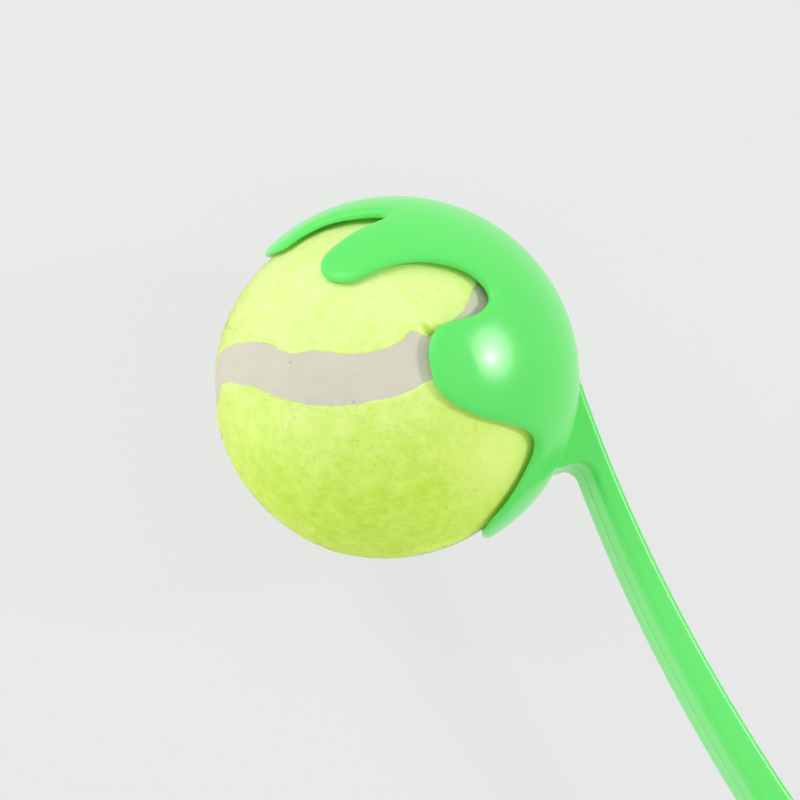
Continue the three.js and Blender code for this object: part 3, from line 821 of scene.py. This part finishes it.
about_x, about_y, about_z = (
    Matrix.Rotation(math.radians(turn), 3, axis) for turn, axis in zip(BALL_TURNS, "XYZ")
)
ball_turn = np.array(about_x @ about_y @ about_z)


def unit(vectors):
    """Vectors of length 1 in the same directions: each divided by its own length."""
    return vectors / np.linalg.norm(vectors, axis=-1, keepdims=True)


def beside_seam(turn, shift):
    """Direction of the point beside the seam at a turn: the seam is (a cos t + b cos 3t,
    a sin t - b sin 3t, c sin 2t), pushed onto the sphere, and the shift goes across it."""
    wide = 1 - SEAM_TIGHT
    tall = 2 * math.sqrt(wide * SEAM_TIGHT) * SEAM_FLAT
    spot = unit(np.stack([
        wide * np.cos(turn) + SEAM_TIGHT * np.cos(3 * turn),
        wide * np.sin(turn) - SEAM_TIGHT * np.sin(3 * turn) + SEAM_SKEW[0] * np.sin(2 * turn),
        tall * np.sin(2 * turn) + SEAM_SKEW[1] * np.sin(turn) + SEAM_SKEW[2] * np.sin(3 * turn),
    ], -1))
    ahead = np.stack([
        -wide * np.sin(turn) - 3 * SEAM_TIGHT * np.sin(3 * turn),
        wide * np.cos(turn) - 3 * SEAM_TIGHT * np.cos(3 * turn) + 2 * SEAM_SKEW[0] * np.cos(2 * turn),
        2 * tall * np.cos(2 * turn) + SEAM_SKEW[1] * np.cos(turn) + 3 * SEAM_SKEW[2] * np.cos(3 * turn),
    ], -1)
    angle = (shift / BALL_RADIUS)[..., None]
    return np.cos(angle) * spot + np.sin(angle) * unit(np.cross(spot, ahead))


def seam_edge(turn, side):
    """Distance from the seam to the felt's cut edge: an even part, slow waves and quick ones. Where
    the photograph shows the edge, the measured distance takes the place of the slow waves. The two
    sides draw their waves from different seeds."""
    chance = np.random.default_rng(EDGE_SEEDS[side])
    waves = np.concatenate([SLOW_WAVES, QUICK_WAVES])
    is_slow = np.isin(waves, SLOW_WAVES)
    heights = chance.normal(0, 1, len(waves)) * np.where(is_slow, *WAVE_HEIGHTS)
    phases = chance.random(len(waves)) * 2 * np.pi
    hills = heights[:, None] * np.sin(waves[:, None] * turn + phases[:, None])
    slow, quick = hills[is_slow].sum(0), hills[~is_slow].sum(0)
    degrees, distances = np.array(seen_edges[side]).T
    at = np.degrees(turn)
    near = ease((at - degrees[0]) / SEEN_FADE + 1) * ease((degrees[-1] - at) / SEEN_FADE + 1)
    seen = np.interp(at, degrees, distances)
    return SEAM_HALF + slow * (1 - near) + (seen - SEAM_HALF) * near + quick


turns = np.linspace(0, 2 * np.pi, 4001)
seam_line = beside_seam(turns, np.zeros_like(turns)) * BALL_RADIUS
print("seam length:", round(float(np.linalg.norm(np.diff(seam_line, axis=0), axis=1).sum())), "mm")

# %% [markdown]
# ## The felt panels
# A panel is a grid in polar form: from its middle, every row is a smaller copy of its outline,
# drawn along great circles. The top surface rolls over at the cut edge and comes back underneath.
# Noise lifts the top in soft lumps. On it lie thousands of fibres, each a closed splinter of four
# faces that leans with the nap, so the outline of the ball is fuzzy and not turned like a bead.
# Splinters shaded by their own faces look like dark chips, so they are shaded as if they faced
# straight outwards, like the cloth that they grow from.

# %% Build the felt
FELT_COLUMNS = 600
FELT_ROWS = 46             # rows on the top of a panel
ROLL_ROWS = 6              # rows on its rolled edge
BARE_ROWS = 2              # rows at the end of the roll that grow no fibres
FOOT_ROWS = 6              # rows underneath, after the one at the edge
FELT_FOOT = 29.65          # radius of the underside
ROLL_WIDTH = 0.55
ROLL_DEPTH = 0.7
POLE_SHARE = 0.02          # how far from a panel's middle its first row lies
LUMPS = [(0.1, 7), (0.05, 2.2), (0.025, 0.9)]   # height and width of the three sizes of lumps
LUMP_DROP = 0.14           # the felt is laid this much lower, to stay inside the ball's radius
NOISE_RADIUS = 32
FIBRES = 22000
FIBRE_RADIUS = 0.035
FIBRE_ROOT = 0.06          # how deep a fibre's root lies
FIBRE_LENGTHS = (0.5, 1.2)
FIBRE_RISES = (0.03, 0.2)  # slope from the cloth
NAP_AXIS = (0.3, -0.2, 0.93)   # the brush went round this axis,
NAP_SPREAD = 0.55              # and left the fibres this unruly


def lumpy(ways, lumps, seed):
    """Hills on a sphere: one layer of noise for each height and width, added up."""
    return sum(
        height * noise(ways * NOISE_RADIUS, width, seed + layer)
        for layer, (height, width) in enumerate(lumps)
    )


def felt_rows(side, turn):
    """The grid of directions of one panel, and the radius of each row. A row lies at one share of
    the way from the pole to the edge. With the edge at an angle a from the pole and the row at p,
    the direction is (sin(a - p) pole + sin(p) edge) / sin(a)."""
    pole = np.array([0, 0, side], float)
    roll = np.linspace(0, np.pi / 2, ROLL_ROWS + 1)[1:]
    under = 1 + FOOT_ROWS
    inset = np.concatenate([
        np.full(FELT_ROWS, ROLL_WIDTH), ROLL_WIDTH * (1 - np.sin(roll)), np.zeros(under)
    ])
    radii = np.concatenate([
        np.full(FELT_ROWS, BALL_RADIUS), BALL_RADIUS - ROLL_DEPTH * (1 - np.cos(roll)),
        np.full(under, FELT_FOOT),
    ])
    shares = np.concatenate([
        np.linspace(POLE_SHARE, 1, FELT_ROWS), np.ones(ROLL_ROWS + 1),
        np.linspace(1, POLE_SHARE, FOOT_ROWS),
    ])
    edges = beside_seam(turn[None], side * (seam_edge(turn, side)[None] + inset[:, None]))
    angle = np.arccos(np.clip(edges @ pole, -1, 1))[..., None]
    part = angle * shares[:, None, None]
    return (np.sin(angle - part) * pole + np.sin(part) * edges) / np.sin(angle), radii


def fibres(ways, grounds, count, seed):
    """Splinters on a grid of directions: each starts at a random place in a random cell, chosen by
    the cell's size, and leans along the nap. Three points make its root and one its tip."""
    chance = np.random.default_rng(seed)
    columns = ways.shape[1]
    sides = np.roll(ways, -1, 1)[:-1] - ways[:-1]
    cells = np.linalg.norm(np.cross(ways[1:] - ways[:-1], sides), axis=-1).ravel()
    pick = chance.choice(len(cells), count, p=cells / cells.sum())
    row, column = pick // columns, pick % columns
    beside = (column + 1) % columns
    down, over = chance.random((2, count, 1))

    def inside_cell(grid):
        """The grid's value at each random place, mixed from the four corners of its cell."""
        here = grid[row, column] * (1 - down) + grid[row + 1, column] * down
        there = grid[row, beside] * (1 - down) + grid[row + 1, beside] * down
        return here * (1 - over) + there * over

    out = unit(inside_cell(ways))
    nap = unit(np.cross(out, NAP_AXIS) + chance.normal(0, NAP_SPREAD, (count, 3)))
    nap = unit(nap - out * (nap * out).sum(-1, keepdims=True))
    aim = unit(nap + chance.uniform(*FIBRE_RISES, (count, 1)) * out)
    length = chance.uniform(*FIBRE_LENGTHS, (count, 1))
    root = out * (inside_cell(grounds[..., None]) - FIBRE_ROOT)
    turn = (np.arange(3) * 2 * np.pi / 3)[:, None]
    ring = np.cross(aim, out)[:, None] * np.cos(turn) + out[:, None] * np.sin(turn)
    corners = np.concatenate([root[:, None] + FIBRE_RADIUS * ring, (root + aim * length)[:, None]], 1)
    first = np.arange(count)[:, None, None] * 4
    faces = np.array([[0, 1, 3], [1, 2, 3], [2, 0, 3], [0, 2, 1]])
    return corners.reshape(-1, 3), np.repeat(out, 4, 0), (first + faces).reshape(-1, 3)


def felt_panel(side, seed):
    """The lumpy grid of one panel, closed by a fan at each pole, with its fibres. The second array
    is the way that each point faces for shading: nothing for the cloth, which keeps its own, and
    straight outwards for the fibres, which then shade like the cloth that they grow from."""
    turn = np.linspace(0, 2 * np.pi, FELT_COLUMNS, endpoint=False)
    ways, radii = felt_rows(side, turn)
    on_top = (radii > FELT_FOOT)[:, None]
    ground = radii[:, None] + on_top * (lumpy(ways, LUMPS, seed) - LUMP_DROP)
    cloth, *cloth_faces = capped(ways * ground[..., None])
    hairy = slice(FELT_ROWS + ROLL_ROWS - BARE_ROWS)
    threads, facing, thread_faces = fibres(ways[hairy], ground[hairy], FIBRES, seed + len(LUMPS))
    points = np.vstack([cloth, threads]) @ ball_turn.T
    facing = np.vstack([np.zeros_like(cloth), facing]) @ ball_turn.T @ launcher_axes
    return points, facing, *cloth_faces, thread_faces + len(cloth)


for side, letter, seed in ((1, "a", 25), (-1, "b", 15)):
    points, facing, *faces = felt_panel(side, seed)
    panel = new_piece("felt_" + letter, points, *faces)
    panel.data.normals_split_custom_set_from_vertices(facing)
    finish_piece(panel, "ball", "felt", felt_cloth, "felt_panel_" + letter)

# %% [markdown]
# ## Finish and build: the seam rubber
# The band between the panels is rubber cement, spread by machine. It is matt, slightly grainy, and
# picks up specks of dirt. It is a grid carried round the seam, with a shallow dip across it. Its
# edges follow the felt on both sides and run a little under it, so that no gap opens between them.

# %% Seam band
SEEN_SPECKS = [(-14.35, -18.94, 22.18), (-1.39, -15.94, 28.29)]
SPECK_RADII = (0.45, 0.45, 0.8)
SEAM_TOP = 32.22
BAND_STEPS = 1200
BAND_SHARES = np.linspace(0, 1, 25)
BAND_TUCK = 0.35           # how far the rubber runs under the felt
BAND_UNDER = [1, 0.5, 0]   # shares of its rows underneath, on the way back
BAND_DIP = 0.1
DIP_POWER = 0.7            # below 1 the dip is flatter in the middle and steeper at the edges
BAND_LUMPS = [(0.06, 1.7), (0.03, 0.6)]
BAND_SEED = 41
BAND_FOOT = FELT_FOOT + 0.02


def seam_rubber():
    """Clouds between two greys, with specks where a noise is near its top and in the two places that
    the photograph shows. Grain and clouds add up to the bump."""
    made, wire, shader = new_material("seam_rubber", Roughness=0.72, Specular_IOR_Level=0.35)
    cloud = wire.speckle(4, detail=4, roughness=0.6)
    grain = wire.speckle(0.35, detail=2)
    speck = wire.speckle(1.1, detail=1).between(0.79, 0.83)
    for spot in SEEN_SPECKS:
        speck = (speck + wire.near(spot, *SPECK_RADII) * 0.9).clamp()
    clean = cloud.blend(colour(203, 199, 179), colour(220, 216, 200))
    link(shader, Base_Color=speck.blend(clean, colour(150, 150, 120)))
    link(shader, Normal=(grain * 0.05 + cloud * 0.12).bumps(0.8))
    return made


def band():
    """Rows round the seam: across the top with a dip and fine noise, and back along the foot."""
    turn = np.linspace(0, 2 * np.pi, BAND_STEPS, endpoint=False)
    low, high = (side * (seam_edge(turn, side) + BAND_TUCK)[:, None] for side in (-1, 1))
    share = np.concatenate([BAND_SHARES, BAND_UNDER])
    shift = low + (high - low) * share
    ways = beside_seam(np.broadcast_to(turn[:, None], shift.shape), shift)
    dip = BAND_DIP * np.sin(np.pi * share) ** DIP_POWER
    top = SEAM_TOP - dip + lumpy(ways, BAND_LUMPS, BAND_SEED)
    radius = np.where(np.arange(len(share)) < len(BAND_SHARES), top, BAND_FOOT)
    points = (ways * radius[..., None]).reshape(-1, 3) @ ball_turn.T
    return points, grid_faces(BAND_STEPS, len(share), closed_rows=True)


seam = new_piece("seam_rubber_band", *band())
seam.data.set_sharp_from_angle(angle=math.radians(60))
finish_piece(seam, "ball", "seam_rubber", seam_rubber(), "seam_band")

# %% [markdown]
# ## The grip sleeve
# The handle lies outside the photograph, so the sleeve is the usual one: soft rubber moulded over
# the handle's core, with hollows for four fingers, a swell for the palm and fine ribs against
# slipping. It is carried along the same bent line as the stem, and its rows run out along the
# outside and back through the bore, so that the tube closes on itself.

# %% Sleeve
def soft_grip():
    """Clouds between two near blacks, which also roughen it by up to 0.2, and a fine grain."""
    made, wire, shader = new_material("soft_grip", Specular_IOR_Level=0.4)
    cloud = wire.speckle(9, detail=4)
    grain = wire.speckle(0.45, detail=2)
    link(shader, Base_Color=cloud.blend(colour(38, 46, 42), colour(52, 61, 56)))
    link(shader, Roughness=0.55 + cloud * 0.2, Normal=(grain * 0.09).bumps(0.8))
    return made


SLEEVE_GAP = 0.3
SLEEVE_ROUND = 1
SWELL = (0.9, 1.8, 1.6)    # in its width, on the palm's side and on the fingers' side
SLEEVE_ROWS = 300
SLEEVE_SHARES = np.linspace(0, 1, 11)[1:-1]
SLEEVE_CORNER_POINTS = 12
FINGERS = 4
FINGER_DEPTH = 1.3
RIB_PITCH = 3.6
RIB_DEPTH = 0.22
RIB_STEEPNESS = 1.6        # at 1 the ribs would be a plain wave
RIB_FADE = (2.2, 0.3)      # the ribs run out before the sleeve's ends
BORE_RADIUS = 5.6


def sleeve():
    """Outside rows with finger hollows and ribs, rounded at both ends, and two rows of the bore."""
    start, stop = COLLAR_END + SLEEVE_GAP, GRIP_END - SLEEVE_GAP
    rounds = SLEEVE_ROUND * ROUND_SHARES
    inner = np.linspace(start + SLEEVE_ROUND, stop - SLEEVE_ROUND, SLEEVE_ROWS)
    distance = np.unique(np.concatenate([start + rounds, inner, stop - rounds]))
    share = (distance - start) / (stop - start)
    bulge = np.sin(np.pi * share)
    finger = (1 - np.cos(2 * np.pi * FINGERS * share)) / 2
    inset = end_round(distance - start, SLEEVE_ROUND) + end_round(stop - distance, SLEEVE_ROUND)
    outline = rounded_oblong(SLEEVE_CORNER_POINTS, SLEEVE_SHARES, SLEEVE_SHARES)
    width = HANDLE[0] + SWELL[0] * bulge - 2 * inset
    above = HANDLE[1] / 2 + SWELL[1] * bulge - inset
    below = HANDLE[1] / 2 + SWELL[2] * bulge - FINGER_DEPTH * finger - inset
    rows = carried(outline, distance, width, above, below, HANDLE_RADIUS - inset)
    wave = np.sin(2 * np.pi * (distance - start) / RIB_PITCH)
    ribbed = np.clip(wave * RIB_STEEPNESS, -1, 1)[:, None]
    flank = np.abs(outline[:, 2]) ** 2 * ease(bulge * RIB_FADE[0] - RIB_FADE[1])[:, None]
    rows[..., 2] -= RIB_DEPTH * (1 - ribbed) * flank * np.sign(outline[:, 2])
    half = CORE[1] / 2 + SLEEVE_GAP
    bore = carried(outline, distance[[-1, 0]], CORE[0] + 2 * SLEEVE_GAP, half, half, BORE_RADIUS)
    points = np.concatenate([rows, bore])
    return points.reshape(-1, 3), grid_faces(*points.shape[:2], closed_rows=True)


grip = new_piece("sleeve", *sleeve())
grip.data.set_sharp_from_angle(angle=math.radians(50))
finish_piece(grip, "launcher", "soft_grip", soft_grip(), "grip_sleeve")

# %% [markdown]
# ## The ball's core
# The two cemented halves of the core are plain moulded rubber and stay as the frame has them. They
# still get a finish of their own, dusty with the talc that keeps moulded rubber from sticking.

# %% Core finish
def core_rubber():
    """Dust between two greys. Where it lies thick the rubber is paler, rougher and a little raised."""
    made, wire, shader = new_material("core_rubber")
    dust = wire.speckle(3, detail=5, roughness=0.65)
    link(shader, Base_Color=dust.blend(colour(86, 84, 77), colour(128, 125, 116)))
    link(shader, Roughness=0.7 + dust * 0.25, Normal=(dust * 0.1).bumps(0.7))
    return made


rubber = core_rubber()
for letter in "ab":
    frame["nodes"]["ball_core_half_" + letter].material_slots[0].material = rubber
print("finishes:", [made.name for made in bpy.data.materials])

# %% [markdown]
# ## The camera
# The photograph looks almost straight down on the launcher's side from about a metre away through
# a long lens. The three directions below were solved from the arm's width, the mouth of the cup
# and the ball's outline, in the launcher's own axes, so the camera turns with the launcher.

# %% Camera
FOCAL_PIXELS = 5335
IMAGE_PIXELS = 800
CAMERA_PLACE = (2.437, -2.493, 1000)   # millimetres from the ball's centre, in the camera's axes
camera_right = np.array([0.6157, 0.7494, 0.2435])
camera_up = np.array([-0.7880, 0.5855, 0.1902])
camera_back = np.cross(camera_right, camera_up)
camera_axes = unit(np.array([camera_right, camera_up, camera_back]) @ launcher_axes)
camera_spot = ball_centre + MM * np.array(CAMERA_PLACE) @ camera_axes
lens = bpy.data.cameras.new("camera")
lens.sensor_width = 36
lens.lens = FOCAL_PIXELS * lens.sensor_width / IMAGE_PIXELS
lens.clip_start = 0.05
camera = bpy.data.objects.new("camera", lens)
camera.matrix_world = Matrix.Translation(camera_spot) @ Matrix(camera_axes.T.tolist()).to_4x4()
bpy.context.scene.collection.objects.link(camera)
bpy.context.scene.camera = camera
print("camera stands", round(math.degrees(math.asin(camera_axes[2, 2]))), "degrees above the floor")

# %% [markdown]
# ## The studio
# One wide sheet is both floor and backdrop. To the camera it glows at the photograph's own pale
# grey, and a matt floor is mixed in that keeps a faint shadow. In reflections it glows white, as the
# table under a photographer's lamps does, which pales the sides of the arm. A large soft lamp lights
# the object from the upper left of the picture and a weaker one from the lower left. A small lamp on
# the right makes the core of the highlight on the cup. The wide halo round it comes from a soft box
# that shows in the gloss alone, because as a real lamp it would bleach the cup. The even sky fills
# the shadows and takes the floor's grey where the camera sees it.

# %% Floor
FLOOR_GREY = colour(233, 233, 233)
FLOOR_HALF = 9             # metres
FLOOR_GLOW = 0.88          # the share of the floor that glows to the camera, and the rest is matt
WHITE = (1, 1, 1, 1)
floor_mesh = bpy.data.meshes.new("floor")
floor_corners = [(x * FLOOR_HALF, y * FLOOR_HALF, 0) for x, y in ((-1, -1), (1, -1), (1, 1), (-1, 1))]
floor_mesh.from_pydata(floor_corners, [], [(0, 1, 2, 3)])
floor = bpy.data.objects.new("floor", floor_mesh)
bpy.context.scene.collection.objects.link(floor)
backdrop, wire, shader = new_material("backdrop", Roughness=0.9, Specular_IOR_Level=0.0)
shader.inputs["Base Color"].default_value = FLOOR_GREY
path = wire.node("LightPath", {}, {}, "Is Camera Ray")
glossy = wire.node("LightPath", {}, {}, "Is Glossy Ray")
glow = wire.node("Emission", {}, {"Color": glossy.blend(FLOOR_GREY, WHITE), "Strength": 1.0})
seen = (path * FLOOR_GLOW + glossy).clamp()
mixed = wire.node("MixShader", {}, {0: seen, 1: Wire(wire.tree, shader.outputs[0]), 2: glow})
wire.tree.links.new(mixed.socket, backdrop.node_tree.nodes["Material Output"].inputs["Surface"])
floor_mesh.materials.append(backdrop)
floor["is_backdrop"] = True

# %% Lights
SKY_GREY = (0.64, 0.64, 0.64, 1)
LAMP_UPRIGHT = (0.1, 0.2, 0.97)   # any way that no lamp shines along


def soft_lamp(name, direction, distance, size, strength):
    """An area lamp that stands in a direction given in the camera's axes and faces the ball."""
    way = unit(np.array(direction, float)) @ camera_axes
    lamp = bpy.data.lights.new(name, "AREA")
    lamp.shape = "DISK"
    lamp.size = size
    lamp.energy = strength * distance**2
    made = bpy.data.objects.new(name, lamp)
    place = ball_centre + way * distance
    across = unit(np.cross(LAMP_UPRIGHT, way))
    axes = np.array([across, np.cross(way, across), way])
    made.matrix_world = Matrix.Translation(place) @ Matrix(axes.T.tolist()).to_4x4()
    bpy.context.scene.collection.objects.link(made)
    return made


soft_lamp("highlight", (0.835, 0.2, 0.45), distance=1.6, size=0.22, strength=2.9)
soft_box = soft_lamp("soft_box", (0.872, 0.25, 0.421), distance=1.6, size=0.72, strength=8.5)
soft_box.visible_diffuse = False
soft_lamp("top_light", (-0.6, 0.6, 0.53), distance=1.8, size=1.5, strength=4.3)
soft_lamp("left_fill", (-0.8, -0.5, 0.33), distance=1.8, size=1.2, strength=2.5)
world = bpy.data.worlds.new("sky")
bpy.context.scene.world = world
world.use_nodes = True
sky = Wire(world.node_tree)
sky_colour = sky.node("LightPath", {}, {}, "Is Camera Ray").blend(SKY_GREY, FLOOR_GREY)
world.node_tree.links.new(sky_colour.socket, world.node_tree.nodes["Background"].inputs["Color"])
bpy.context.scene.view_settings.view_transform = "Standard"

# %% [markdown]
# ## Finish
# The box of the dressed object is written beside the frame's box, to show that it hasn't grown.

# %% Write the sizes and close
boxes = {"cad": cad_box, "visual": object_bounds()}
boxes = {name: np.array([list(corner) for corner in box]).tolist() for name, box in boxes.items()}
print(boxes)
